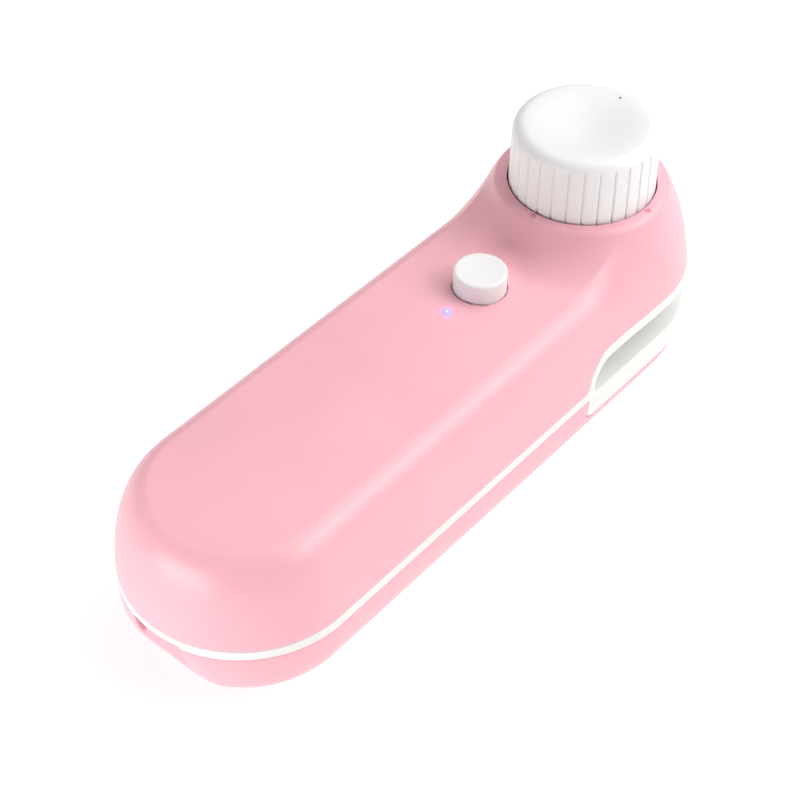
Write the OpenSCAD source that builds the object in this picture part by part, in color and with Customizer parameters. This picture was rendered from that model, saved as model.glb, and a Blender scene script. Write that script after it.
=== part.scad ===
// Handheld bag heat sealer: a pocket-size rechargeable sealer with a
// thumb-pressed knob that drives a heated bar down onto a padded lower jaw.
// X runs along the housing, with the knob end at +X. Z is up. The flat
// underside of the lower shell stands on Z = 0. Millimetres.

/* [Housing] */
// Overall length of the housing
body_len = 134.4; // [130:0.4:138]
// Overall width of the housing
body_w = 43; // [42:0.5:45]
// Height of the lower shell, from the base to the light band
base_h = 14; // [14:0.5:15]
// Height of the light band between the two shells
band_h = 2.1; // [1.8:0.1:2.4]
// Height of the upper shell above the band
top_h = 17.5; // [17.5:0.5:18.5]
// Height of the collar round the knob above the band
collar_h = 24.1; // [24:0.1:25]
// Wall of both shells
wall = 1.8; // [1.6:0.1:2]

/* [Mouth] */
// Height of the lower jaw's top face
jaw_z = 14.3; // [14:0.1:14.5]
// Height of the slot that the bag goes into
mouth_h = 6.5; // [6.3:0.1:6.7]
// Distance of the slot's inner end from the knob's axis
mouth_depth = 22.3; // [22:0.1:22.5]
// Height of the light lip over the slot
lip_h = 2; // [1.8:0.1:2.2]
// Height of the lower jaw's side wall
jaw_h = 5.7; // [5.4:0.1:6]

/* [Knob] */
// Radius of the knob
knob_r = 13.6; // [13.4:0.1:13.8]
// Height of the knob above the collar
knob_h = 12.5; // [10.5:0.1:13]
// Number of grip grooves round the knob
groove_n = 30; // [24:2:36]
// Travel of the knob and the heating bar
stroke = 6.0; // [5.6:0.1:6.1]

/* [Power button] */
// Distance of the button from the middle of the housing
button_x = 15.9; // [14:0.5:17]
// Radius of the button
button_r = 4.85; // [4.5:0.05:5]
// Height of the button above the housing
button_h = 3.7; // [3:0.1:4]
// Distance of the indicator lamp from the middle of the housing
lamp_x = 6.7; // [5:0.1:7]

/* [Battery] */
// Radius of the cell
cell_r = 7.1; // [7:0.05:7.2]
// Length of the cell
cell_len = 50; // [48:0.5:50]

/* [Hidden] */

SMOOTH = 96; // round features that fit or turn
ROUND = 48; // small round features
eps = 0.01;

// Housing outline and heights
r_end = body_w / 2;
x_end = body_len / 2 - r_end; // centre of each round end; the knob's axis at +X
band_z0 = base_h;
band_z1 = base_h + band_h;
top_z = band_z1 + top_h;
collar_z = band_z1 + collar_h;
crown = 0.9; // how far the top sinks from its middle to its edge
base_run = 8.5; // how far the lower shell turns in towards the base
base_rise = base_h - 1.1;
top_run = 6.9; // how far the upper shell turns in towards the top
head_run = 14; // semi-axes of the elliptical side of the head
head_rise = 30;
arc_n = 8; // straight steps in each curved section

// Mouth
mouth_x = x_end - mouth_depth;
lip_z0 = jaw_z + mouth_h;
lip_z1 = lip_z0 + lip_h;
mouth_r = 5; // inside corner at the slot's inner end
trim_x = mouth_x - 2; // outer edge of the light trim round the slot's inner end
trim_r = mouth_r + 2;
ceiling_z = jaw_z + 6.8; // underside of the plate over the slot
ceiling_t = 1.6;
post_z = ceiling_z + 3; // where the upper shell's bosses meet the plate's posts
jaw_x = mouth_x - 1.5;
jaw_r = 2.5; // lower corner of the jaw

// Press mechanism, all on the knob's axis
bore_r = knob_r + 0.35; // collar's bore
knob_z0 = collar_z - 3.4; // lower edge of the knob's skirt
knob_z1 = collar_z + knob_h;
cap_t = 2.2; // knob's top wall
flange_z = knob_z1 - cap_t - 0.65; // top of the plunger's flange
flange_t = 2;
shaft_r = 5;
foot_z = post_z + 0.5; // underside of the plunger's foot, on the heater carrier
foot_t = 2;
bush_r = 6.6;
tower_z = flange_z - flange_t - stroke - 0.3; // top of the guide tower
foot_room = 4.1; // room under the tower for the plunger's foot
tower_z0 = ceiling_z + ceiling_t + foot_room;
spring_z0 = tower_z0 + 1.5;
spring_r = 10.2;
wire_r = 0.45;
spring_turns = 5;

// Heating bar, across the jaw
bar_w = 10;
bar_len = 32;
pad_z = jaw_z + 0.5;
face_z = pad_z + stroke + 0.1; // release sheet's face with the knob up
sheet_t = 0.2;
strip_t = 0.25;
bar_z0 = face_z + sheet_t + strip_t;
strip_w = 4;

// Boards and battery
board_t = 1.2;
board_z = 24.2; // top of the control board
board_x0 = -16;
board_x1 = 21;
board_w = 25;
board_screw_x = [board_x0 + 3, board_x1 - 14];
charge_z = 9.8; // top of the charging board
charge_screw_x = -50;
recess_depth = 3.3; // charging recess, from the tail inwards
recess_w = 10.6;
cell_x = -15.5; // middle of the cell
cell_z = 10.3;
socket_x = -body_len / 2 + recess_depth + 0.1; // mouth of the socket
screw_x = [-36.5, 15.2];
screw_y = 11.7;
jaw_screw_y = 9;
jaw_screw_x = x_end + 12;

function arc_points(n, a0, a1) = [for (i = [0 : n]) a0 + (a1 - a0) * i / n];

// Half sections, radius against height
function top_profile(inset) = let (b = top_h - inset, r = r_end - inset,
        run = top_run - inset * 0.4, flat = r - run) concat(
    [[0, band_z1 - (inset > 0 ? 1 : 0)], [r, band_z1 - (inset > 0 ? 1 : 0)]],
    [for (t = arc_points(arc_n, 0, 90)) [flat + run * cos(t), band_z1 + (b - crown) * sin(t)]],
    [for (k = [2 : -1 : 0]) [flat * k / 3, band_z1 + b - crown * pow(k / 3, 2)]]);

function base_profile(inset) = let (r = r_end - inset, run = base_run - inset * 0.4,
        b = base_rise - inset) concat(
    [[0, inset]],
    [for (t = arc_points(arc_n, 0, 90)) [r - run + run * sin(t), inset + b - b * cos(t)]],
    [[r, band_z0 + (inset > 0 ? 1 : 0)], [0, band_z0 + (inset > 0 ? 1 : 0)]]);

function head_r(h) = r_end - head_run * (1 - sqrt(1 - pow(h / head_rise, 2)));
function head_profile(inset) = let (top = collar_h - inset) concat(
    [[0, band_z1 - (inset > 0 ? 1 : 0)], [r_end - inset, band_z1 - (inset > 0 ? 1 : 0)]],
    [for (k = [1 : arc_n]) [head_r(top * k / arc_n) - inset, band_z1 + top * k / arc_n]],
    [[0, collar_z - inset]]);

// Solid with round ends and one section all the way round
module stadium_solid(profile) {
    translate([x_end, 0, 0]) rotate_extrude(angle = 180, start = -90, $fn = SMOOTH) polygon(profile);
    translate([-x_end, 0, 0]) rotate_extrude(angle = 180, start = 90, $fn = SMOOTH) polygon(profile);
    translate([-x_end, 0, 0]) rotate([90, 0, 90]) linear_extrude(2 * x_end)
        union() { polygon(profile); mirror([1, 0]) polygon(profile); }
}

// Slab with round ends, from z0 to z1
module stadium(r, z0, z1, x0 = -x_end, x1 = x_end) {
    translate([0, 0, z0]) linear_extrude(z1 - z0) {
        translate([x0, 0]) circle(r, $fn = SMOOTH);
        translate([x1, 0]) circle(r, $fn = SMOOTH);
        translate([x0, -r]) square([x1 - x0, 2 * r]);
    }
}

module tube(r, bore, z0, z1, fn = ROUND) {
    translate([0, 0, z0]) difference() {
        cylinder(r = r, h = z1 - z0, $fn = fn);
        translate([0, 0, -1]) cylinder(r = bore, h = z1 - z0 + 2, $fn = fn);
    }
}

module rod(r, z0, z1, fn = ROUND) { translate([0, 0, z0]) cylinder(r = r, h = z1 - z0, $fn = fn); }

module at_screws() { for (x = screw_x, s = [-1, 1]) translate([x, s * screw_y, 0]) children(); }
module at_jaw_screws() { for (s = [-1, 1]) translate([jaw_screw_x, s * jaw_screw_y, 0]) children(); }
module at_board_screws() { for (x = board_screw_x, s = [-1, 1]) translate([x, s * 9.6, 0]) children(); }
module at_charge_screws() { for (s = [-1, 1]) translate([charge_screw_x, s * 7, 0]) children(); }
module on_axis() { translate([x_end, 0, 0]) children(); }

// Pan-head screw with its head down, from the underside of the head at z
module screw(r, head_r, head_h, len, z) {
    difference() {
        union() { rod(head_r, z - head_h, z); rod(r, z - eps, z + len); }
        translate([0, 0, z - head_h - eps]) for (a = [0, 90]) rotate(a)
            translate([-head_r * 0.6, -0.3, 0]) cube([head_r * 1.2, 0.6, head_h * 0.6]);
    }
}

// Side view of the slot or its trim, past x0 and under z1
module mouth_outline(x0, z0, z1, r) {
    polygon(concat([[x_end + r_end + 2, z0], [x0, z0]],
        [for (t = arc_points(6, 180, 90)) [x0 + r + r * cos(t), z1 - r + r * sin(t)]],
        [[x_end + r_end + 2, z1]]));
}
module mouth_cut(x0, z0, z1, r) {
    translate([0, r_end + 2, 0]) rotate([90, 0, 0]) linear_extrude(2 * r_end + 4)
        mouth_outline(x0, z0, z1, r);
}

// Room past x0 and over z0, with a rounded lower corner
module jaw_block(x0, z0, z1) {
    translate([0, r_end + 2, 0]) rotate([90, 0, 0]) linear_extrude(2 * r_end + 4)
        polygon(concat([[x0, z1]],
            [for (t = arc_points(6, 180, 270)) [x0 + jaw_r + jaw_r * cos(t), z0 + jaw_r + jaw_r * sin(t)]],
            [[x0 + 60, z0], [x0 + 60, z1]]));
}

module board(x0, x1, w, z, t) { translate([x0, -w / 2, z - t]) cube([x1 - x0, w, t]); }

// Wire in straight runs along the axes between the given points
module wire(points, r) {
    n = len(points) - 1;
    for (i = [0 : n - 1]) let (d = points[i + 1] - points[i], l = norm(d), lead = i > 0 ? r : 0)
        translate(points[i] - d * lead / l) rotate([0, acos(d[2] / l), atan2(d[1], d[0])])
            cylinder(r = r, h = l + lead, $fn = 16);
}

// Lower casing, with the charging recess under the band and the screw wells
module bottom_shell() {
    color("lightpink") difference() {
        union() {
            difference() {
                stadium_solid(base_profile(0));
                stadium_solid(base_profile(wall));
                // seat for the lower jaw
                jaw_block(jaw_x - 0.05, jaw_z - jaw_h - 0.05, jaw_z + 20);
            }
            intersection() {
                stadium_solid(base_profile(0.9));
                union() {
                    at_screws() rod(3, 1, band_z0);
                    at_jaw_screws() rod(3, 1, jaw_z - jaw_h - 0.1);
                    // thick wall behind the charging recess, and the board's rests
                    translate([-body_len / 2, -7.5, 1]) cube([recess_depth + 1.6, 15, band_z0 - 1]);
                    at_charge_screws() rod(2, 1, charge_z - board_t);
                    // cradle for the cell
                    for (x = [cell_x - 18, cell_x + 18])
                        translate([x - 1, -cell_r - 3, 1]) cube([2, 2 * cell_r + 6, 9]);
                }
            }
            // ledge that closes the shell in front of the seat
            intersection() {
                stadium_solid(base_profile(0));
                translate([jaw_x - 1.8, -r_end, 1]) cube([1.75, body_w, base_h - 1]);
            }
        }
        // recess and port for the charging plug
        charging_recess(charge_z - 0.9, 60);
        translate([-body_len / 2, 0, charge_z + 1.65]) rotate([0, 90, 0]) linear_extrude(12)
            plug_outline(0.15);
        at_screws() { rod(1.45, -1, 40); rod(2.7, -1, 5); }
        at_jaw_screws() { rod(1.45, -1, 40); rod(2.7, -1, 5); }
        translate([cell_x, 0, cell_z]) rotate([0, 90, 0])
            cylinder(r = cell_r + 0.1, h = cell_len + 3, center = true, $fn = SMOOTH);
        // pilot holes for the charging board's screws
        at_charge_screws() rod(0.85, 3, 23);
    }
}

module charging_recess(z0, z1) {
    translate([-body_len / 2 - 1, -recess_w / 2, z0]) cube([1 + recess_depth, recess_w, z1 - z0]);
}

module plug_outline(grow) {
    for (s = [-1, 1]) translate([0, s * 2.9]) circle(1.6 + grow, $fn = ROUND);
    square([3.2 + 2 * grow, 5.8], center = true);
}

// Light band, the trim and ceiling of the mouth, the deck and the guide tower
module mid_frame() {
    color("whitesmoke") difference() {
        union() {
            // band
            difference() {
                stadium(r_end, band_z0, band_z1);
                stadium(r_end - 2.4, band_z0 - 1, band_z1 + 1);
                translate([mouth_x, -r_end - 1, 0]) cube([80, body_w + 2, 60]);
            }
            // deck over the battery
            difference() {
                intersection() {
                    stadium(r_end - 2, band_z0 + 0.5, band_z1);
                    translate([-80, -40, 0]) cube([80 + mouth_x, 80, 60]);
                }
                translate([cell_x - cell_len / 2 - 6, -9, 0]) cube([cell_len + 12, 18, 60]);
            }
            // trim round the slot, closed by a ceiling and an inner wall
            intersection() {
                difference() {
                    mouth_cut(trim_x, band_z0, lip_z1, trim_r);
                    mouth_cut(mouth_x, 0, lip_z0, mouth_r);
                }
                union() {
                    difference() {
                        mouth_limit(0);
                        translate([0, 0, -1]) mouth_limit(2.2);
                    }
                    stadium(r_end - 2, ceiling_z, ceiling_z + ceiling_t);
                    stadium(r_end - 2, band_z0, lip_z1, x1 = mouth_x - r_end + 2);
                    inner_wall();
                }
            }
            // guide tower on the ceiling
            on_axis() {
                rod(bush_r + 2, tower_z0, tower_z);
                rod(spring_r + 1.2, tower_z0, spring_z0);
                for (s = [-1, 1]) translate([s * 6.6 - 1, -8, ceiling_z]) cube([2, 16, foot_room + 2]);
            }
            at_jaw_screws() rod(2.6, ceiling_z, post_z);
        }
        // window for the heating bar, bore for the bush, screw holes
        translate([x_end - bar_w / 2 - 0.4, -bar_len / 2 - 0.4, 0])
            cube([bar_w + 0.8, bar_len + 0.8, tower_z0]);
        on_axis() { rod(bush_r, 0, 60, SMOOTH); }
        at_screws() rod(1.45, 0, 60);
        at_jaw_screws() { rod(1.3, 0, 60); rod(2.2, 0, ceiling_z + 1.5); }
        charging_recess(0, band_z0 + 0.7);
    }
}

module mouth_limit(inset) {
    intersection() {
        union() {
            stadium_solid(top_profile(inset));
            on_axis() rotate_extrude($fn = SMOOTH) polygon(head_profile(inset));
            stadium(r_end - inset, band_z0, band_z1 + eps);
        }
        translate([trim_x - 1, -40, 0]) cube([80, 80, lip_z1 + 1]);
    }
}
module inner_wall() {
    intersection() {
        stadium(r_end - 2, band_z0, lip_z1);
        translate([mouth_x - 1.6, -40, 0]) cube([1.6 + mouth_r, 80, 60]);
    }
}

// Upper casing, with the collar round the knob
module top_shell() {
    color("pink") difference() {
        union() {
            difference() {
                union() {
                    stadium_solid(top_profile(0));
                    on_axis() rotate_extrude($fn = SMOOTH) polygon(head_profile(0));
                    saddle();
                }
                stadium_solid(top_profile(wall));
                on_axis() rotate_extrude($fn = SMOOTH) polygon(head_profile(wall));
            }
            // screw bosses and the button's guide
            intersection() {
                stadium_solid(top_profile(0.9));
                union() {
                    at_screws() rod(2.6, band_z1, top_z);
                    at_board_screws() rod(2.2, board_z + 0.02, top_z);
                    translate([button_x, 0, 0]) rod(7.6, top_z - 3.4, top_z);
                    translate([lamp_x, 0, 0]) rod(2, top_z - 4, top_z);
                }
            }
            intersection() {
                on_axis() rotate_extrude($fn = SMOOTH) polygon(head_profile(0.9));
                union() {
                    at_jaw_screws() rod(2.6, post_z, post_z + 5.5);
                    // ribs that join these bosses to the wall
                    on_axis() for (s = [-1, 1]) rotate(s * atan2(jaw_screw_y, jaw_screw_x - x_end))
                        translate([15, -0.8, post_z]) cube([8, 1.6, 5.5]);
                }
            }
            // lock and release marks on the collar
            on_axis() for (a = [180, 270]) rotate(a) translate([(bore_r + head_r(collar_h)) / 2, 0, 0])
                rod(0.45, collar_z - 1, collar_z + 0.3);
        }
        mouth_cut(trim_x, 0, lip_z1, trim_r);
        on_axis() rod(bore_r, post_z + 4, 80, SMOOTH);
        at_screws() rod(1.25, 0, band_z1 + 9);
        at_jaw_screws() rod(1.0, 0, post_z + 4.8);
        at_board_screws() rod(0.96, 0, board_z + 6.5);
        translate([button_x, 0, 0]) {
            rod(button_r + 0.25, 0, 60, SMOOTH);
            rod(6.3, 0, top_z - wall, SMOOTH);
        }
        translate([lamp_x, 0, 0]) rod(0.95, 0, 60);
    }
}

// Hollow sweep from the top of the housing up to the collar
module saddle() {
    rise = collar_z - top_z;
    run = 9;
    r0 = head_r(collar_h);
    intersection() {
        on_axis() rotate_extrude(angle = 180, start = 90, $fn = SMOOTH)
            polygon(concat([[0, top_z - 6], [r0 + run, top_z - 6]],
                [for (t = arc_points(6, 90, 0))
                    [r0 + run - run * cos(t), top_z - 0.8 + (rise + 0.8) * (1 - sin(t))]],
                [[0, collar_z]]));
        translate([0, -12, 0]) cube([x_end, 24, 60]);
    }
}

// White lower jaw, flush with the lower shell
module lower_jaw() {
    z0 = jaw_z - jaw_h;
    color("white") difference() {
        union() {
            intersection() {
                union() {
                    stadium_solid(base_profile(0));
                    stadium(r_end, band_z0 - eps, jaw_z);
                }
                jaw_block(jaw_x, z0, jaw_z);
            }
        }
        intersection() {
            stadium_solid(base_profile(wall));
            translate([jaw_x + 1.6, -40, 0]) cube([80, 80, jaw_z - 2]);
        }
        // groove for the pad, pilot holes
        translate([x_end - 4.05, -bar_len / 2 - 0.05, jaw_z - 1.2]) cube([8.1, bar_len + 0.1, 5]);
        at_jaw_screws() rod(1.05, 0, jaw_z - 2.1);
        // step under the trim of the slot
        translate([jaw_x - 1, -40, band_z0]) cube([mouth_x - jaw_x + 1.1, 80, 5]);
    }
    // screw bosses under the jaw
    color("white") at_jaw_screws() tube(3, 1.05, z0 - 0.05, jaw_z - 2 + eps);
}

module silicone_pad() {
    color("dimgray") translate([x_end - 4, -bar_len / 2, jaw_z - 1.2])
        cube([8, bar_len, pad_z - jaw_z + 1.2]);
}

// Thumb knob: a ribbed cup with a dished top and a boss that turns in the plunger
module knob_cap() {
    groove_r = 0.28;
    dish_r = 52;
    rim = 2.4;
    top_r = knob_r - 0.25;
    groove_turn = 5.4; // where the first groove lies
    color("white") on_axis() difference() {
        union() {
            rotate_extrude($fn = SMOOTH) polygon(concat(
                [[0, knob_z0], [knob_r, knob_z0], [top_r, knob_z1 - rim]],
                [for (t = arc_points(6, 0, 90)) [top_r - rim + rim * cos(t), knob_z1 - rim + rim * sin(t)]],
                [[0, knob_z1]]));
        }
        // inside of the cup, leaving the boss
        difference() {
            rod(knob_r - 2, knob_z0 - 1, knob_z1 - cap_t - 0.6, SMOOTH);
            rod(shaft_r - 1.9, 0, 80, SMOOTH);
        }
        // boss length and its screw hole
        rod(knob_r - 2, knob_z0 - 1, boss_z, SMOOTH);
        rod(0.96, 0, knob_z1 - cap_t - 1.6);
        translate([0, 0, knob_z1 + dish_r - 1.2]) sphere(dish_r, $fn = SMOOTH);
        for (i = [0 : groove_n - 1]) rotate(360 * (i + 0.5) / groove_n + groove_turn)
            translate([knob_r, 0, collar_z + 0.2]) rotate([0, -1.2, 0])
                cylinder(r = groove_r, h = knob_h - rim - 0.8, $fn = 16);
        // arc slot for the plunger's stop pin
        translate([0, 0, knob_z1 - cap_t - 0.7]) rotate_extrude(angle = 106, start = -98, $fn = SMOOTH)
            translate([7, 0]) square([2, 1.2]);
    }
}
boss_z = flange_z - 8;

module knob_washer() { color("silver") on_axis() tube(3.9, 1.3, boss_z - 0.5, boss_z - 0.02); }
module knob_screw() { color("silver") on_axis() screw(0.95, 2.2, 1.5, 7, boss_z - 0.5); }

// Sliding plunger: shaft with a flange under the knob and a foot for the heater
module plunger() {
    color("gainsboro") on_axis() difference() {
        union() {
            rod(shaft_r, foot_z + foot_t - eps, flange_z, SMOOTH);
            rod(knob_r - 2.3, flange_z - flange_t, flange_z, SMOOTH);
            translate([8, 0, 0]) rod(0.8, flange_z - eps, flange_z + 0.95);
            rod(shaft_r, foot_z, foot_z + foot_t, SMOOTH);
            translate([-4, -11, foot_z]) cube([8, 22, foot_t]);
            // keys that stop the shaft turning
            for (s = [-1, 1]) translate([-0.9, s > 0 ? shaft_r - 0.5 : -shaft_r - 0.7, foot_z + foot_t - eps])
                cube([1.8, 1.2, flange_z - flange_t - foot_z - foot_t]);
        }
        rod(shaft_r - 1.84, boss_z - 1, 80, SMOOTH);
        rod(4.1, 0, boss_z + 0.05, SMOOTH);
        for (s = [-1, 1]) translate([0, s * 8.5, 0]) rod(0.95, foot_z - 1, foot_z + foot_t + 1);
    }
}

// Bush pressed into the guide tower, with a slot for each key
module guide_bush() {
    color("goldenrod") on_axis() difference() {
        tube(bush_r, shaft_r + 0.05, tower_z0, tower_z, SMOOTH);
        for (s = [-1, 1]) translate([-1.1, s > 0 ? shaft_r - 0.6 : -shaft_r - 0.9, ceiling_z])
            cube([2.2, 1.5, 40]);
    }
}

// Coil of round wire between the ceiling and the plunger's flange
module return_spring() {
    z0 = spring_z0 + wire_r;
    z1 = flange_z - flange_t - wire_r - 0.05;
    ring_n = 16;
    side_n = 6;
    n = spring_turns * ring_n;
    function pitch(u) = z0 + (z1 - z0) * u;
    points = [for (i = [0 : n], k = [0 : side_n - 1])
        let (a = 360 * i / ring_n, b = 360 * k / side_n, r = spring_r + wire_r * cos(b))
        [r * cos(a), r * sin(a), pitch(i / n) + wire_r * sin(b)]];
    faces = concat(
        [for (i = [0 : n - 1], k = [0 : side_n - 1]) let (k2 = (k + 1) % side_n)
            [i * side_n + k, i * side_n + k2, (i + 1) * side_n + k2, (i + 1) * side_n + k]],
        [[for (k = [side_n - 1 : -1 : 0]) k]], [[for (k = [0 : side_n - 1]) n * side_n + k]]);
    color("silver") on_axis() polyhedron(points, faces, convexity = 8);
}

// Heat-proof bar that holds the heating strip
module heater_carrier() {
    color("burlywood") difference() {
        translate([x_end - bar_w / 2, -bar_len / 2, bar_z0]) cube([bar_w, bar_len, foot_z - bar_z0]);
        // recess for the sheet's folded edges
        for (s = [-1, 1])
            translate([x_end + s * (bar_w / 2 - sheet_t + 0.48) - 0.5, -bar_len / 2 - 1, bar_z0 - 1])
                cube([1, bar_len + 2, 3.2]);
        on_axis() for (s = [-1, 1]) translate([0, s * 8.5, 0]) { rod(1.1, 0, 60); rod(2.1, 0, bar_z0 + 1.5); }
    }
}
module carrier_screws() {
    color("silver") on_axis() for (s = [-1, 1]) translate([0, s * 8.5, 0])
        screw(0.94, 1.9, 1.2, foot_z - bar_z0 + 0.2, bar_z0 + 1.5);
}

module heating_strip() {
    color("slategray") translate([x_end - strip_w / 2, -bar_len / 2 - strip_t, bar_z0 - strip_t]) {
        cube([strip_w, bar_len + 2 * strip_t, strip_t]);
        for (y = [0, bar_len + strip_t]) translate([0, y, 0]) cube([strip_w, strip_t, 3]);
    }
}
module heater_terminals() {
    color("gold") on_axis() for (s = [-1, 1]) translate([0, s * (bar_len / 2 - 2), foot_z]) {
        rod(1.5, 0, 1.6);
    }
}
module release_sheet() {
    color("tan") translate([x_end - bar_w / 2, -bar_len / 2, face_z]) {
        cube([bar_w, bar_len, sheet_t]);
        for (x = [0, bar_w - sheet_t]) translate([x, 0, 0]) cube([sheet_t, bar_len, 2.4]);
    }
}

// Leads that flex between the fixed cable rests and the moving bar
module heater_leads() {
    color("firebrick") on_axis() for (s = [-1, 1])
        wire([[0, s * (bar_len / 2 - 2), foot_z + 1.7], [0, s * (bar_len / 2 - 2), foot_z + 6.5]], 0.6);
}

// Switch that starts the heater when the knob's skirt reaches the end of its stroke
switch_z = knob_z0 - stroke - 0.1;
module press_switch() {
    color("black")
        translate([x_end - 16.8, -3, ceiling_z + ceiling_t])
            cube([5, 6, switch_z - 1.4 - ceiling_z - ceiling_t]);
}
module switch_button() {
    color("red") translate([x_end - 13, 0, 0]) rod(0.8, switch_z - 1.4, switch_z);
}

module power_button() {
    color("white") translate([button_x, 0, 0]) {
        rod(button_r, top_z - wall - 0.2, top_z + button_h, SMOOTH);
        rod(6, top_z - wall - 1.25, top_z - wall - 0.15, SMOOTH);
        rod(1.6, tact_z + 0.02, top_z - wall - 1.2);
    }
}
tact_body_z = board_z + 3.4;
tact_z = tact_body_z + 0.9;
module tact_plunger() { color("black") translate([button_x, 0, 0]) rod(1.7, tact_body_z - 0.9, tact_z); }
module tact_switch() {
    color("silver") translate([button_x, 0, 0]) difference() {
        translate([-3, -3, board_z]) cube([6, 6, tact_body_z - board_z]);
        rod(1.8, tact_body_z - 1.6, tact_body_z + 1);
    }
}

module light_pipe() {
    color("lightcyan") translate([lamp_x, 0, 0]) {
        rod(0.9, board_z + 1.1, top_z - 0.05);
        rod(1.7, board_z + 1.1, board_z + 2.1);
    }
}
module lamp_chip() { color("ivory") translate([lamp_x - 0.8, -0.4, board_z]) cube([1.6, 0.8, 0.8]); }

module control_board() {
    color("darkgreen") difference() {
        board(board_x0, board_x1, board_w, board_z, board_t);
        at_board_screws() rod(1.1, 0, 60);
        // notches round the housing screws
        for (s = [-1, 1]) translate([screw_x[1], s * screw_y, 0]) rod(3, 0, 60);
    }
}
module controller_chip() {
    color("black") {
        translate([-8, -2.5, board_z]) cube([5, 4, 1.5]);
        translate([-2, 4.2, board_z]) cube([6, 6, 2.4]);
        translate([-10, -8.5, board_z]) cube([5, 5, 1.1]);
    }
}
module board_screws() {
    color("silver") {
        at_board_screws() screw(0.95, 1.8, 1.2, 7, board_z - board_t);
        at_charge_screws() translate([0, 0, charge_z]) rotate([180, 0, 0]) screw(0.84, 1.6, 1.1, 4, 0);
    }
}

module charge_board() {
    color("darkgreen") difference() {
        board(-body_len / 2 + recess_depth + 2, -44.5, 15.4, charge_z, board_t);
        at_charge_screws() rod(0.9, 0, 60);
    }
}
// USB-C receptacle, open towards the tail
module usb_c_socket() {
    color("silver") translate([socket_x, 0, charge_z + 1.65]) rotate([0, 90, 0]) {
        difference() {
            linear_extrude(7.3) plug_outline(0);
            translate([0, 0, -1]) linear_extrude(7.3) plug_outline(-0.3);
        }
        translate([-0.35, -3.3, 1]) cube([0.7, 6.6, 6]);
    }
}

module battery_cell() {
    color("royalblue") translate([cell_x, 0, cell_z]) rotate([0, 90, 0]) {
        cylinder(r = cell_r, h = cell_len - 1.2, center = true, $fn = SMOOTH);
        translate([0, 0, cell_len / 2 - 0.61]) cylinder(r = 2.8, h = 0.6, $fn = ROUND);
    }
}
module battery_tabs() {
    color("gainsboro") for (s = [-1, 1]) translate([cell_x + s * (cell_len / 2 + 0.12) - 0.1, -2, cell_z - 3])
        translate([s > 0 ? -0.02 : 0.58, 0, 0]) cube([0.2, 4, 8]);
}
module battery_pad() {
    color("darkgray") difference() {
        translate([-9, -6, cell_z + 4]) cube([16, 12, board_z - board_t - 0.05 - cell_z - 4]);
        translate([cell_x, 0, cell_z]) rotate([0, 90, 0])
            cylinder(r = cell_r + 0.02, h = 60, center = true, $fn = SMOOTH);
    }
}
module battery_leads() {
    end = cell_len / 2 + 1.2;
    top = board_z - board_t - 0.05;
    color("black") wire([[cell_x - end, 0, cell_z + 4], [cell_x - end, 0, 19.8], [cell_x - end, -7, 19.8],
        [board_x0 + 2, -7, 19.8], [board_x0 + 2, -7, top]], 0.55);
    color("red") wire([[cell_x + end, 0, cell_z + 4], [cell_x + end, 0, top]], 0.55);
}
module charge_leads() {
    for (s = [-1, 1]) color(s > 0 ? "red" : "black") wire([
        [-45.6, s * 2, charge_z + 0.05], [-45.6, s * 2, 21.5], [board_x0 + 1.5, s * 2, 21.5],
        [board_x0 + 1.5, s * 2, board_z - board_t - 0.05]], 0.55);
}

module housing_screws() { color("silver") at_screws() screw(1.24, 2.4, 1.6, band_z1 + 8 - 5, 5); }
module jaw_screws() { color("silver") at_jaw_screws() screw(1.0, 2.4, 1.6, jaw_z - 2.3 - 5, 5); }
module ceiling_screws() { color("silver") at_jaw_screws() screw(0.99, 2, 1.3, 6, ceiling_z + 1.5); }

bottom_shell();
mid_frame();
top_shell();
lower_jaw();
silicone_pad();
knob_cap();
knob_screw();
knob_washer();
plunger();
guide_bush();
return_spring();
heater_carrier();
carrier_screws();
heating_strip();
heater_terminals();
release_sheet();
heater_leads();
press_switch();
switch_button();
power_button();
tact_plunger();
tact_switch();
light_pipe();
lamp_chip();
control_board();
controller_chip();
board_screws();
charge_board();
usb_c_socket();
battery_cell();
battery_tabs();
battery_pad();
battery_leads();
charge_leads();
housing_screws();
jaw_screws();
ceiling_screws();
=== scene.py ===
"""Looks of the handheld bag sealer: smooth moulded shells, ribbed knob, materials, light and camera.

The shells are worked out as smooth distance fields in millimetres, meshed with a surface net and
shaded with the field's own normals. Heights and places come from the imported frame.
"""

import math

import bpy
import numpy as np
from mathutils import Matrix, Vector


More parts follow.
